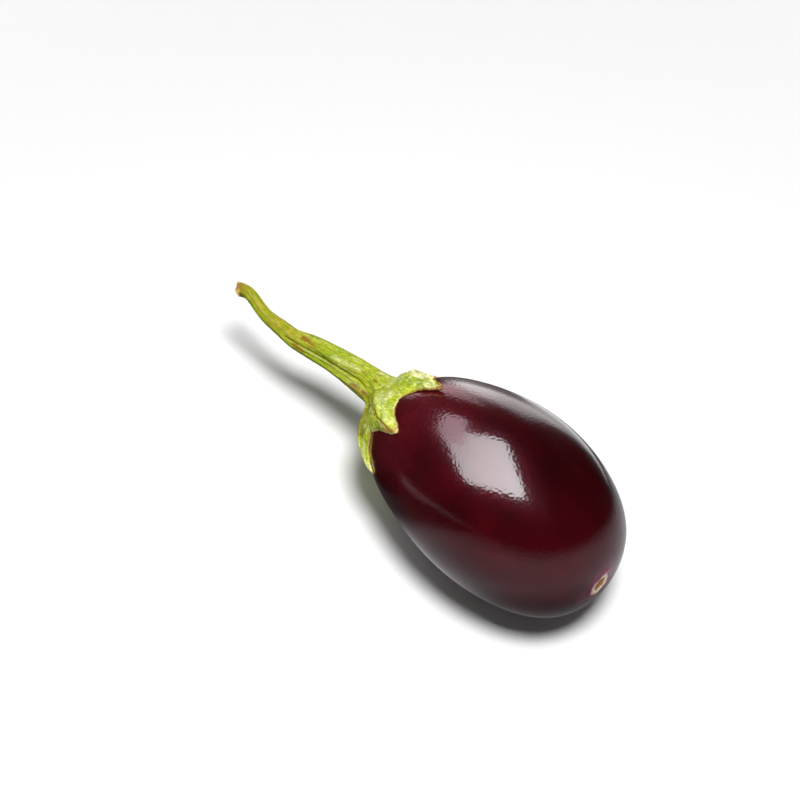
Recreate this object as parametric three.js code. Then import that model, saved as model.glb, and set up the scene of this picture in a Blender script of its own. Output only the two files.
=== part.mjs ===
import * as THREE from 'three';
import { mergeVertices } from 'three/addons/utils/BufferGeometryUtils.js';

// A small purple eggplant, picked with its stem, lying on its side.
// Lengths are in millimetres, angles in degrees, and +Z is up. The fruit's axis lies along X:
// the stem end is towards -X and the blossom end towards +X.
// A heading is an angle round that axis, 0 at the top and 90 towards +Y.

// The fruit: a plump oval whose girth is a half sine, filled out a little by higher waves.
const fruit = {
  length: 73,
  radius: 23.68,
  waves: [1, -0.023, 0.047, 0.0065, 0.0152],
  bow: 1.35,
  bowHeading: 59,
  flattening: 0.25,
  skinColour: 0x3d0a14,
  rows: 34,
  columns: 56,
};

// The blossom end: a corky pit inside a low ring.
const scar = { pitRadius: 1.6, pitDepth: 0.55, ringRadius: 2.9, ringHeight: 0.22, ringSpread: 0.45 };
const scarArcs = [0.8, 1.6, 2.2, 2.9, 4];

// The small flat on which the fruit lies, measured down from its axis.
const restDepth = 22.05;

// The calyx: sepals grown together round the stem, each ending in a free lobe.
// reach is the way from the fruit's stem end to the edge, along the skin. lift is how far the
// edge stands off the skin, and arch how far the calyx does further in, at the way archAt.
// barb is the dry point on a lobe's tip, keel the height of the fold down its middle, and rib how
// strongly that fold runs on up the stem as a ridge. shoulder is how near the keel the edge turns
// in to the tip: the higher, the more slender the tip.
const lobes = [
  { heading: -155, reach: 24, lift: 0.3, arch: 0.2, archAt: 12,
    barb: 0.5, keel: 1.4, rib: 0.7, shoulder: 0.7 },
  { heading: -90, reach: 21.2, lift: 0.2, arch: 0.6, archAt: 7.5,
    barb: 1.6, keel: 1.2, rib: 1, shoulder: 0.84 },
  { heading: -42, reach: 26.7, lift: 0.3, arch: 0.1, archAt: 10,
    barb: 0.3, keel: 1.7, rib: 1, shoulder: 0.66 },
  { heading: 5, reach: 25.6, lift: 0.5, arch: 0, archAt: 12,
    barb: 0.5, keel: 2.1, rib: 1, shoulder: 0.78 },
  { heading: 20, reach: 19.8, lift: 0.9, arch: 1.5, archAt: 14.5,
    barb: 0.4, keel: 0.1, rib: 0, shoulder: 0.66 },
  { heading: 88, reach: 22.5, lift: 0.2, arch: 0, archAt: 12,
    barb: 0.8, keel: 1.3, rib: 0.7, shoulder: 0.72 },
  { heading: 142, reach: 24.5, lift: 0.4, arch: 0.1, archAt: 12,
    barb: 0.6, keel: 1.5, rib: 0.9, shoulder: 0.68 },
];
// Each bay lies between the lobe of the same number and the next one.
const bays = [
  { heading: -122, reach: 15, lift: 0, arch: 0, archAt: 12 },
  { heading: -66.5, reach: 14.3, lift: 0, arch: 0.1, archAt: 10 },
  { heading: -18, reach: 16.9, lift: 0, arch: 0, archAt: 12 },
  { heading: 12.5, reach: 19.2, lift: 0.2, arch: 0.1, archAt: 14 },
  { heading: 47, reach: 14.3, lift: 0.3, arch: 0.9, archAt: 13 },
  { heading: 116, reach: 14.8, lift: 0, arch: 0, archAt: 12 },
  { heading: 172, reach: 14.5, lift: 0, arch: 0, archAt: 12 },
];

// How an edge climbs from its bay to its lobe's tip: a steady slope with a steeper shoulder.
const edge = { slope: 0.62, shoulderHalf: 0.22 };

const calyx = {
  gap: 0.3,
  collarArc: 8.5,
  collarThickness: 2.2,
  lobeArc: 18,
  lobeThickness: 1.05,
  edgeThickness: 0.7,
  edgeThinning: 6,
  keelFade: 0.8,
  edgeRound: 0.45,
  liftFrom: 10,
  archSpread: 4,
  archEndsFrom: 6,
  archEndsTo: 1,
  stemHandle: 3.4,
  skinHandle: 3.2,
  baySag: 0.35,
  colour: 0x9a9a3c,
};

// The stem's line and radius, from its cut end to where it swells into the calyx.
const stemPoints = [
  { at: [-93.9, -3.4, 3.1], radius: 1.8 },
  { at: [-89.8, -2.6, 3.7], radius: 1.7 },
  { at: [-83.2, -3.0, 1.4], radius: 1.74 },
  { at: [-76.5, -2.7, 0.8], radius: 2.2 },
  { at: [-71.8, -2.3, 0.4], radius: 2.6 },
  { at: [-66.8, -1.0, 0.5], radius: 3.25 },
  { at: [-60.6, 0.2, 0.7], radius: 3.55 },
  { at: [-53.1, 1.1, 0.8], radius: 4.1 },
  { at: [-45.8, 1.6, 0.9], radius: 4.7 },
];
// ridge is the height of a full rib, as a share of the radius, ridgeAtCut what is left of it at the
// cut, furrow how much deeper the bays run, and twist how far the ribs turn on the way.
const stem = {
  ridge: 0.16,
  ridgeAtCut: 0.3,
  furrow: 0.3,
  twist: 18,
  cutSlant: 1.3,
  cutHeading: 59,
  slantSteps: 3,
  pithDepth: 0.5,
  pithRadius: 0.55,
};

// Where the rings of the calyx's surface lie, as shares of each stretch.
const stemSteps = 21;
const collarSteps = 6;
const lobeShares = [0.18, 0.36, 0.54, 0.7, 0.84, 0.94, 1];
const undersideShares = [0.9, 0.72, 0.5, 0.26];
const columnShares = [0, 0.1, 0.25, 0.45, 0.72];

const turn = (degrees) => THREE.MathUtils.degToRad(degrees);
const { lerp, smoothstep } = THREE.MathUtils;

// Smooth curve through evenly spaced numbers, read at share 0 to 1.
function through(numbers, share) {
  const last = numbers.length - 1;
  const place = Math.min(share * last, last - 1e-9);
  const index = Math.floor(place);
  const t = place - index;
  const before = numbers[Math.max(index - 1, 0)];
  const here = numbers[index];
  const next = numbers[index + 1];
  const after = numbers[Math.min(index + 2, last)];
  const leave = (next - before) / 2;
  const arrive = (after - here) / 2;
  const bend = 3 * (next - here) - 2 * leave - arrive;
  const twist = 2 * (here - next) + leave + arrive;
  return here + t * (leave + t * (bend + t * twist));
}

// Share of the full girth at polar angle phi, 0 at the stem end and pi at the blossom end.
function girthWave(phi) {
  return fruit.waves.reduce((sum, height, index) => sum + height * Math.sin((index + 1) * phi), 0);
}

const waveSamples = Array.from({ length: 400 }, (_, index) => girthWave((Math.PI * index) / 400));
const fullestWave = Math.max(...waveSamples);

// The skin without its scar and flat, at polar angle phi. It is a little wider than tall.
function skin(phi, heading) {
  const x = (-fruit.length / 2) * Math.cos(phi);
  const uneven = -fruit.flattening * Math.sin(phi) ** 2 * Math.cos(2 * heading);
  const radius = (fruit.radius * girthWave(phi)) / fullestWave + uneven;
  const bow = fruit.bow * Math.sin(phi) ** 2;
  return new THREE.Vector3(
    x,
    radius * Math.sin(heading) + bow * Math.sin(turn(fruit.bowHeading)),
    radius * Math.cos(heading) + bow * Math.cos(turn(fruit.bowHeading)),
  );
}

function skinNormal(phi, heading) {
  const step = 1e-3;
  const inner = THREE.MathUtils.clamp(phi, step * 2, Math.PI - step * 2);
  const along = skin(inner + step, heading).sub(skin(inner - step, heading));
  const round = skin(inner, heading + step).sub(skin(inner, heading - step));
  return along.cross(round).normalize();
}

// Polar angle at a given way along the skin from the stem end.
const arcSteps = 600;
const arcTable = [0];
for (let index = 1; index <= arcSteps; index += 1) {
  const here = skin((Math.PI * index) / arcSteps, 0);
  const before = skin((Math.PI * (index - 1)) / arcSteps, 0);
  arcTable.push(arcTable[index - 1] + here.distanceTo(before));
}
const wholeArc = arcTable[arcSteps];

function phiAtArc(arc) {
  const above = arcTable.findIndex((length) => length >= arc);
  if (above <= 0) return 0;
  const share = (arc - arcTable[above - 1]) / (arcTable[above] - arcTable[above - 1]);
  return (Math.PI * (above - 1 + share)) / arcSteps;
}

// A closed skin over rings of points. The first and the last ring are single points.
function closedSurface(rings) {
  const columns = rings[1].length;
  const geometry = new THREE.SphereGeometry(1, columns, rings.length - 1);
  const position = geometry.getAttribute('position');
  rings.forEach((ring, row) => {
    for (let column = 0; column <= columns; column += 1) {
      const point = ring[column % ring.length];
      position.setXYZ(row * (columns + 1) + column, point.x, point.y, point.z);
    }
  });
  geometry.deleteAttribute('normal');
  geometry.deleteAttribute('uv');
  const merged = mergeVertices(geometry);
  merged.computeVertexNormals();
  return merged;
}

function makeFruit() {
  const reliefAt = (fromEnd) => {
    const pit = -scar.pitDepth * (1 - smoothstep(fromEnd, 0, scar.pitRadius));
    const offRing = Math.abs(fromEnd - scar.ringRadius) / scar.ringRadius;
    return pit + scar.ringHeight * (1 - smoothstep(offRing, 0, scar.ringSpread));
  };
  const arcs = [];
  const plainArc = wholeArc - scarArcs[scarArcs.length - 1];
  for (let row = 0; row < fruit.rows; row += 1) arcs.push((plainArc * row) / fruit.rows);
  [...scarArcs].reverse().forEach((fromEnd) => arcs.push(wholeArc - fromEnd));
  arcs.push(wholeArc);

  const rings = arcs.map((arc, row) => {
    const single = row === 0 || row === arcs.length - 1;
    const phi = phiAtArc(arc);
    return Array.from({ length: single ? 1 : fruit.columns }, (_, column) => {
      const heading = (2 * Math.PI * column) / fruit.columns;
      const point = skin(phi, heading);
      const outward = single ? new THREE.Vector3(-Math.cos(phi), 0, 0) : skinNormal(phi, heading);
      point.addScaledVector(outward, reliefAt(wholeArc - arc));
      point.z = Math.max(point.z, -restDepth);
      return point;
    });
  });
  const material = new THREE.MeshStandardMaterial({
    color: fruit.skinColour,
    roughness: 0.2,
    metalness: 0,
  });
  const mesh = new THREE.Mesh(closedSurface(rings), material);
  mesh.name = 'fruit';
  return mesh;
}

// Each column of the calyx runs from the stem's cut end over a lobe or a bay and back under it.
// away is 0 on a lobe's keel and 1 in a bay; liftAt and reach belong to the column's edge.
function calyxColumns() {
  const columns = [];
  lobes.forEach((lobe, index) => {
    const bayBefore = bays[(index + bays.length - 1) % bays.length];
    const bayAfter = bays[index];
    const startHeading = index === 0 ? bayBefore.heading - 360 : bayBefore.heading;
    const sides = [
      { bay: bayBefore, bayHeading: startHeading, shares: [1, ...columnShares.slice(1).reverse()] },
      { bay: bayAfter, bayHeading: bayAfter.heading, shares: columnShares },
    ];
    sides.forEach(({ bay, bayHeading, shares }) => {
      shares.forEach((away) => {
        const climb = 1 - away;
        const shoulderFrom = lobe.shoulder - edge.shoulderHalf;
        const shoulder = smoothstep(climb, shoulderFrom, lobe.shoulder + edge.shoulderHalf);
        const rise = lerp(shoulder, climb, edge.slope);
        const barb = away === 0 ? lobe.barb : 0;
        columns.push({
          heading: turn(lerp(lobe.heading, bayHeading, away)),
          away,
          reach: lerp(bay.reach, lobe.reach, rise) + barb,
          lift: lerp(bay.lift, lobe.lift, climb ** 2),
          arch: lerp(bay.arch, lobe.arch, climb),
          archAt: lerp(bay.archAt, lobe.archAt, climb),
          keel: lobe.keel * climb ** 2,
          rib: lobe.rib * climb ** 2 - stem.furrow,
        });
      });
    });
  });
  return columns;
}

function standOff(column, arc) {
  const out = smoothstep(arc, calyx.liftFrom, column.reach);
  const offArch = (arc - column.archAt) / calyx.archSpread;
  const archStarts = column.reach - calyx.archEndsFrom;
  const ends = smoothstep(arc, archStarts, column.reach - calyx.archEndsTo);
  const arch = column.arch * Math.exp(-(offArch ** 2)) * (1 - ends);
  return calyx.gap + column.lift * out ** 2 + arch;
}

function thicknessAt(column, arc) {
  const share = arc / column.reach;
  const outward = smoothstep(arc, calyx.collarArc, calyx.lobeArc);
  const body = lerp(calyx.collarThickness, calyx.lobeThickness, outward);
  const thinned = lerp(body, calyx.edgeThickness, share ** calyx.edgeThinning);
  return thinned + column.keel * (1 - calyx.keelFade * share ** 2);
}

function offSkin(column, arc, height) {
  const phi = phiAtArc(arc);
  return skin(phi, column.heading).addScaledVector(skinNormal(phi, column.heading), height);
}

const outerPoint = (column, arc) => offSkin(column, arc, standOff(column, arc) + thicknessAt(column, arc));
const innerPoint = (column, arc) => offSkin(column, arc, standOff(column, arc));

function stemCentre(share) {
  const numbers = [0, 1, 2].map((axis) => through(stemPoints.map((point) => point.at[axis]), share));
  return new THREE.Vector3(...numbers);
}

function stemDirection(share) {
  const step = 1e-3;
  const ahead = stemCentre(Math.min(share + step, 1));
  return ahead.sub(stemCentre(Math.max(share - step, 0))).normalize();
}

// A point of the stem at share 0 (cut end) to 1, at the given part of its radius.
function stemPoint(column, share, part = 1) {
  const along = stemDirection(share);
  const upward = new THREE.Vector3(0, 0, 1).addScaledVector(along, -along.z).normalize();
  const sideways = new THREE.Vector3().crossVectors(upward, along);
  const ridge = stem.ridge * lerp(stem.ridgeAtCut, 1, share) * column.rib;
  const radius = through(stemPoints.map((point) => point.radius), share) * (1 + ridge) * part;
  const heading = column.heading + turn(stem.twist) * (1 - share);
  const slanted = Math.max(0, 1 - (share * stemSteps) / stem.slantSteps) * part;
  const slant = stem.cutSlant * slanted * Math.cos(heading - turn(stem.cutHeading));
  return stemCentre(share)
    .addScaledVector(sideways, radius * Math.sin(heading))
    .addScaledVector(upward, radius * Math.cos(heading))
    .addScaledVector(along, -slant);
}

// The swelling between stem and calyx: a curve that leaves along the stem and lands along the skin.
function collarPoint(column, share) {
  const start = stemPoint(column, 1);
  const end = outerPoint(column, calyx.collarArc);
  const landing = outerPoint(column, calyx.collarArc + 0.5).sub(end).normalize();
  const web = 1 - calyx.baySag * column.away;
  const curve = new THREE.CubicBezierCurve3(
    start,
    start.clone().addScaledVector(stemDirection(1), calyx.stemHandle * web),
    end.clone().addScaledVector(landing, -calyx.skinHandle),
    end,
  );
  return curve.getPoint(share);
}

function makeCalyxAndStem() {
  const columns = calyxColumns();
  const ringOf = (pointAt) => columns.map(pointAt);
  const cutCentre = stemCentre(0).addScaledVector(stemDirection(0), stem.pithDepth);
  const rings = [[cutCentre]];
  rings.push(ringOf((column) => stemPoint(column, 0, stem.pithRadius)));
  for (let step = 0; step <= stemSteps; step += 1) {
    rings.push(ringOf((column) => stemPoint(column, step / stemSteps)));
  }
  for (let step = 1; step <= collarSteps; step += 1) {
    rings.push(ringOf((column) => collarPoint(column, step / collarSteps)));
  }
  lobeShares.forEach((share) => {
    rings.push(ringOf((column) => outerPoint(column, lerp(calyx.collarArc, column.reach, share))));
  });
  rings.push(ringOf((column) => innerPoint(column, column.reach - calyx.edgeRound)));
  undersideShares.forEach((share) => {
    rings.push(ringOf((column) => innerPoint(column, column.reach * share)));
  });
  const middle = skin(0, 0);
  middle.x -= calyx.gap;
  rings.push([middle]);

  const material = new THREE.MeshStandardMaterial({
    color: calyx.colour,
    roughness: 0.75,
    metalness: 0,
  });
  const mesh = new THREE.Mesh(closedSurface(rings), material);
  mesh.name = 'calyx_and_stem';
  return mesh;
}

const eggplant = new THREE.Group();
eggplant.add(makeFruit(), makeCalyxAndStem());

// The origin is under the middle of the whole, on the surface it lies on.
const extent = new THREE.Box3().setFromObject(eggplant);
const middle = extent.getCenter(new THREE.Vector3());
eggplant.position.set(-middle.x, -middle.y, -extent.min.z);

export default eggplant;
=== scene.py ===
import math

import bpy
import numpy as np
from mathutils import Euler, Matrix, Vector, noise


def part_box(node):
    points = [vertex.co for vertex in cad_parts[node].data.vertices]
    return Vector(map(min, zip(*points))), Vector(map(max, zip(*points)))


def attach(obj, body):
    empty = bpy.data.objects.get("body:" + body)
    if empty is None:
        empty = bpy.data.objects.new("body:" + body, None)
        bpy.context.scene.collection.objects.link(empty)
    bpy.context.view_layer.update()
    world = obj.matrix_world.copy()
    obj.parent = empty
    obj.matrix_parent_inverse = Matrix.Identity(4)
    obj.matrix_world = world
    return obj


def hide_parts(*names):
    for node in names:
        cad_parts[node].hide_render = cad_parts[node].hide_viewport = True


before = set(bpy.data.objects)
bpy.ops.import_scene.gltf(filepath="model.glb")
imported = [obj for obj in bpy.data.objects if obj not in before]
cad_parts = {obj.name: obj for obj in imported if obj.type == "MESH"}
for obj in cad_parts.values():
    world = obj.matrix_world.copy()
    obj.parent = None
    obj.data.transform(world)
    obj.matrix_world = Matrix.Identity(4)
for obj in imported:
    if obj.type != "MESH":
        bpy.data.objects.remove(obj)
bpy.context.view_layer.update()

mm = 0.001  # everything is built in metres


# small helpers

def readThrough(numbers, share):
    # a smooth curve through evenly spaced numbers, read at shares from 0 to 1
    numbers = np.asarray(numbers, float)
    last = len(numbers) - 1
    place = np.clip(share, 0, 1) * last
    index = np.minimum(place.astype(int), last - 1)
    t = place - index
    before, here = numbers[np.maximum(index - 1, 0)], numbers[index]
    after, beyond = numbers[index + 1], numbers[np.minimum(index + 2, last)]
    leave, arrive = (after - before) / 2, (beyond - here) / 2
    bend = 3 * (after - here) - 2 * leave - arrive
    twist = 2 * (here - after) + leave + arrive
    return here + t * (leave + t * (bend + t * twist))


def smoothStep(value, low, high):
    share = np.clip((value - low) / (high - low), 0, 1)
    return share * share * (3 - 2 * share)


def mix(low, high, share):
    return low + (high - low) * share


def unit(vectors):
    return vectors / np.linalg.norm(vectors, axis=-1, keepdims=True)


def lumps(points, size, seed=0):
    # smooth random heights between -1 and 1, one lump about every `size`
    offset = Vector((seed * 7.3, seed * 3.1, seed * 5.7))
    flat = points.reshape(-1, 3) / size
    heights = [noise.noise(Vector(point) + offset) for point in flat]
    return np.array(heights).reshape(points.shape[:-1])


def closedSkin(name, rings, layers):
    # rings of points from end to end, the first and last a single point; layers are per point values
    columns = len(rings[1])
    points = np.concatenate([np.atleast_2d(ring) for ring in rings])
    column = np.arange(columns)
    beside = (column + 1) % columns
    faces = [(0, 1 + a, 1 + b) for a, b in zip(column, beside)]
    for row in range(len(rings) - 3):
        start = 1 + row * columns
        faces += [(start + a, start + columns + a, start + columns + b, start + b)
                  for a, b in zip(column, beside)]
    last = len(points) - 1
    faces += [(last, last - columns + b, last - columns + a) for a, b in zip(column, beside)]
    mesh = bpy.data.meshes.new(name)
    mesh.from_pydata(points.tolist(), [], faces)
    mesh.shade_smooth()
    for layer, values in layers.items():
        flat = np.concatenate([np.atleast_1d(value) for value in values])
        mesh.attributes.new(layer, "FLOAT", "POINT").data.foreach_set("value", flat)
    piece = bpy.data.objects.new(name, mesh)
    bpy.context.collection.objects.link(piece)
    return piece


def addNode(tree, kind, inputs=None, **settings):
    made = tree.nodes.new(kind)
    for name, value in settings.items():
        setattr(made, name, value)
    for name, value in (inputs or {}).items():
        if isinstance(value, bpy.types.NodeSocket):
            tree.links.new(value, made.inputs[name])
        else:
            made.inputs[name].default_value = value
    return made


def newMaterial(name):
    material = bpy.data.materials.new(name)
    material.use_nodes = True
    tree = material.node_tree
    return material, tree, tree.nodes["Principled BSDF"]


def noiseOf(tree, vector, scale, detail=3, roughness=0.5):
    inputs = {"Vector": vector, "Scale": scale, "Detail": detail, "Roughness": roughness}
    return addNode(tree, "ShaderNodeTexNoise", inputs).outputs["Fac"]


def remap(tree, value, low, high, toLow=0.0, toHigh=1.0):
    inputs = {"Value": value, "From Min": low, "From Max": high, "To Min": toLow, "To Max": toHigh}
    return addNode(tree, "ShaderNodeMapRange", inputs, interpolation_type="SMOOTHSTEP").outputs["Result"]


def mixColour(tree, share, first, second, blend="MIX"):
    made = addNode(tree, "ShaderNodeMix", data_type="RGBA", blend_type=blend, clamp_factor=True)
    sockets = [socket for socket in made.inputs if socket.enabled]
    for socket, value in zip(sockets, (share, first, second)):
        if isinstance(value, bpy.types.NodeSocket):
            tree.links.new(value, socket)
        else:
            socket.default_value = value
    return next(socket for socket in made.outputs if socket.enabled)


def combine(tree, operation, first, second):
    made = addNode(tree, "ShaderNodeMath", operation=operation)
    for socket, value in zip(made.inputs, (first, second)):
        if isinstance(value, bpy.types.NodeSocket):
            tree.links.new(value, socket)
        else:
            socket.default_value = value
    return made.outputs[0]


def vectorMath(tree, operation, *values):
    return addNode(tree, "ShaderNodeVectorMath", dict(enumerate(values)), operation=operation).outputs


def times(tree, product, *others):
    for other in others:
        product = combine(tree, "MULTIPLY", product, other)
    return product


def plus(tree, first, second):
    return combine(tree, "ADD", first, second)


def slanted(tree, value, other, slope):
    return plus(tree, value, times(tree, other, slope))


def layerOf(tree, name):
    return addNode(tree, "ShaderNodeAttribute", attribute_name=name).outputs["Fac"]


def srgb(red, green, blue):
    def linear(value):
        value /= 255
        return value / 12.92 if value <= 0.04045 else ((value + 0.055) / 1.055) ** 2.4
    return (linear(red), linear(green), linear(blue), 1.0)


# the fruit, with the scar at its free end

fruit = {
    "length": 73 * mm,
    "radius": 23.68 * mm,
    "waves": (1, -0.023, 0.047, 0.0065, 0.0152),  # how the girth swells along the fruit
    "bow": 1.35 * mm,
    "bowHeading": 59,
    "flattening": 0.25 * mm,  # wider than tall
    "axisHeight": 22.05 * mm,  # above the surface it lies on
    "rows": 220,
    "columns": 240,
    "firstRow": 0.4 * mm,
    "waviness": 0.045 * mm,
    "wavinessSize": 9 * mm,
    "deepColour": (0.027, 0.0009, 0.002, 1),
    "warmColour": (0.058, 0.001, 0.0035, 1),
    "shoulderColour": (0.095, 0.006, 0.011, 1),  # towards the calyx
    "blushColour": srgb(150, 58, 100),
    "paintedShadeAt": (46 * mm, 10 * mm, 40 * mm),  # painted shade, darkest round this place on the upper right
    "paintedShadeFades": (6 * mm, 30 * mm, 0.42, 1),
}
scar = {
    "rows": 34,  # closer together than the fruit's, round the scar
    "rowsFrom": 6 * mm,
    "rowsTo": 0.15 * mm,
    "pitRadius": 1.6 * mm,
    "pitDepth": 0.55 * mm,
    "ringRadius": 2.9 * mm,
    "ringHeight": 0.22 * mm,
    "ringSpread": 0.45,
    "wrinkles": 17,
    "wrinkleDepth": 0.25,
    "wrinkleSize": 1.5 * mm,
    "grain": (0.12 * mm, 0.7 * mm, 3),  # height, size and seed
    "longHeading": 53,  # its ring is an oval, longest this way round
    "longer": 0.2,  # at 0.2 it is half as long again as it is wide
    "corkColour": srgb(188, 126, 22),
    "corkDark": srgb(112, 60, 8),
    "coreColour": srgb(66, 14, 4),
    "ringColour": srgb(246, 226, 206),
}

fruitLow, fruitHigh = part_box("fruit")
bowAngle = math.radians(fruit["bowHeading"])
axisStart = np.array((
    fruitLow[0],
    (fruitLow[1] + fruitHigh[1]) / 2 - fruit["bow"] * math.sin(bowAngle),
    fruit["axisHeight"],
))


def girthWave(phi):
    return sum(height * np.sin((index + 1) * phi) for index, height in enumerate(fruit["waves"]))


phiTable = np.linspace(0, math.pi, 2001)
fullestWave = girthWave(phiTable).max()


def skinPoints(phi, heading):
    phi, heading = np.broadcast_arrays(phi, heading)
    uneven = -fruit["flattening"] * np.sin(phi) ** 2 * np.cos(2 * heading)
    radius = fruit["radius"] * girthWave(phi) / fullestWave + uneven
    bow = fruit["bow"] * np.sin(phi) ** 2
    x = fruit["length"] / 2 * (1 - np.cos(phi))
    y = radius * np.sin(heading) + bow * math.sin(bowAngle)
    z = radius * np.cos(heading) + bow * math.cos(bowAngle)
    return np.stack((x, y, z), axis=-1) + axisStart


def skinNormals(phi, heading):
    step = 1e-3
    inner = np.clip(phi, 2 * step, math.pi - 2 * step)
    along = skinPoints(inner + step, heading) - skinPoints(inner - step, heading)
    around = skinPoints(inner, heading + step) - skinPoints(inner, heading - step)
    return unit(np.cross(along, around))


meridian = skinPoints(phiTable, 0.0)
arcTable = np.concatenate(([0], np.cumsum(np.linalg.norm(np.diff(meridian, axis=0), axis=-1))))
wholeArc = arcTable[-1]


def phiAtArc(arc):
    return np.interp(arc, arcTable, phiTable)


def wavySkin(phi, heading):
    points = skinPoints(phi, heading)
    relief = fruit["waviness"] * lumps(points, fruit["wavinessSize"], 1)
    return points + skinNormals(phi, heading) * relief[:, None]


def makeFruit():
    heading = np.linspace(0, 2 * math.pi, fruit["columns"], endpoint=False)
    squeeze = 1 - scar["longer"] * np.cos(2 * (heading - math.radians(scar["longHeading"])))
    grainHeight, grainSize, grainSeed = scar["grain"]
    bodyRows = np.linspace(fruit["firstRow"], wholeArc - scar["rowsFrom"] - fruit["firstRow"], fruit["rows"])
    scarRows = wholeArc - np.linspace(scar["rowsFrom"], scar["rowsTo"], scar["rows"])
    arcs = np.concatenate((bodyRows, scarRows))
    rings = [skinPoints(0.0, 0.0)]
    fromScar = [wholeArc]
    fromStem = [0.0]
    for arc in arcs:
        phi = np.full_like(heading, phiAtArc(arc))
        points = wavySkin(phi, heading)
        toEnd = (wholeArc - arc) * squeeze
        relief = -scar["pitDepth"] * (1 - smoothStep(toEnd, 0, scar["pitRadius"]))
        offRing = abs(toEnd - scar["ringRadius"]) / scar["ringRadius"]
        onRing = 1 - smoothStep(offRing, 0, scar["ringSpread"])
        waves = scar["wrinkleDepth"] * np.cos(scar["wrinkles"] * heading)
        wrinkle = 1 + waves * lumps(points, scar["wrinkleSize"], 2)
        relief = relief + scar["ringHeight"] * onRing * wrinkle
        grain = grainHeight * lumps(points, grainSize, grainSeed)
        relief = relief + grain * (toEnd < scar["ringRadius"])
        points = points + skinNormals(phi, heading) * relief[:, None]
        points[:, 2] = np.maximum(points[:, 2], 0)
        rings.append(points)
        fromScar.append(toEnd)
        fromStem.append(np.full(len(heading), arc))
    rings.append(skinPoints(math.pi, 0.0) - np.array((scar["pitDepth"], 0, 0)))
    fromScar.append(0.0)
    fromStem.append(wholeArc)
    return closedSkin("fruitSkin", rings, {"fromScar": fromScar, "fromStem": fromStem})


def makeFruitMaterial():
    material, tree, shader = newMaterial("glossyPurpleSkin")
    place = addNode(tree, "ShaderNodeTexCoord").outputs["Object"]
    stretched = addNode(tree, "ShaderNodeMapping", {"Vector": place, "Scale": (0.25, 1, 1)})
    clouds = remap(tree, noiseOf(tree, place, 70, 4, 0.55), 0.3, 0.7)
    streaks = remap(tree, noiseOf(tree, stretched.outputs["Vector"], 300, 1), 0.3, 0.75)
    tone = plus(tree, times(tree, clouds, 0.7), times(tree, streaks, 0.25))
    colour = mixColour(tree, tone, fruit["deepColour"], fruit["warmColour"])
    towardsStem = remap(tree, layerOf(tree, "fromStem"), 16 * mm, 44 * mm, 1, 0)
    shoulder = times(tree, towardsStem, plus(tree, times(tree, tone, 0.7), 0.15))
    colour = mixColour(tree, shoulder, colour, fruit["shoulderColour"])

    # painted shade: the skin is darkened round a place on its upper right
    toPaintedShade = vectorMath(tree, "DISTANCE", place, fruit["paintedShadeAt"])["Value"]
    paintedShade = remap(tree, toPaintedShade, *fruit["paintedShadeFades"])
    colour = mixColour(tree, 1.0, colour, paintedShade, "MULTIPLY")

    fromScar = layerOf(tree, "fromScar")
    ragged = times(tree, noiseOf(tree, place, 420, 4), 2.4 * mm)
    distance = combine(tree, "SUBTRACT", plus(tree, fromScar, ragged), 1.2 * mm)
    patchy = remap(tree, noiseOf(tree, place, 300, 2), 0.35, 0.65, 0.3, 1)
    blush = times(tree, remap(tree, distance, 2.6 * mm, 7 * mm, 0.7, 0), patchy)
    colour = mixColour(tree, blush, colour, fruit["blushColour"])
    ring = remap(tree, distance, 1.9 * mm, 3.2 * mm, 1, 0)
    colour = mixColour(tree, ring, colour, scar["ringColour"])
    cork = remap(tree, distance, 1.3 * mm, 1.85 * mm, 1, 0)
    corkTone = mixColour(tree, noiseOf(tree, place, 1600, 3), scar["corkDark"], scar["corkColour"])
    core = remap(tree, distance, 0.35 * mm, 0.8 * mm, 0.9, 0)
    corkTone = mixColour(tree, core, corkTone, scar["coreColour"])
    colour = mixColour(tree, cork, colour, corkTone)
    tree.links.new(colour, shader.inputs["Base Color"])

    shader.inputs["Specular IOR Level"].default_value = 0.14
    shader.inputs["Specular Tint"].default_value = (1, 0.3, 0.55, 1)
    shader.inputs["Coat Weight"].default_value = 1.0
    shader.inputs["Coat Roughness"].default_value = 0.12
    shader.inputs["Coat IOR"].default_value = 1.5
    rough = remap(tree, distance, 2.6 * mm, 5 * mm, 0.6, 0.26)
    tree.links.new(rough, shader.inputs["Roughness"])

    # pores, which show most near the stem, on slow ripples
    pores = noiseOf(tree, place, 1500, 0)
    poreDepth = remap(tree, layerOf(tree, "fromStem"), 18 * mm, 40 * mm, 0.62, 0.3)
    ripples = noiseOf(tree, place, 420, 1)
    height = slanted(tree, times(tree, pores, poreDepth), ripples, 0.22)
    bump = addNode(tree, "ShaderNodeBump", {"Strength": 1.0, "Distance": 0.08 * mm, "Height": height})
    tree.links.new(bump.outputs["Normal"], shader.inputs["Normal"])
    tree.links.new(bump.outputs["Normal"], shader.inputs["Coat Normal"])
    return material


fruitSkin = makeFruit()
fruitSkin.data.materials.append(makeFruitMaterial())
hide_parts("fruit")
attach(fruitSkin, "root")
print("fruit made:", len(fruitSkin.data.polygons), "faces")


# the calyx and the stem, which grew as one piece

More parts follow.
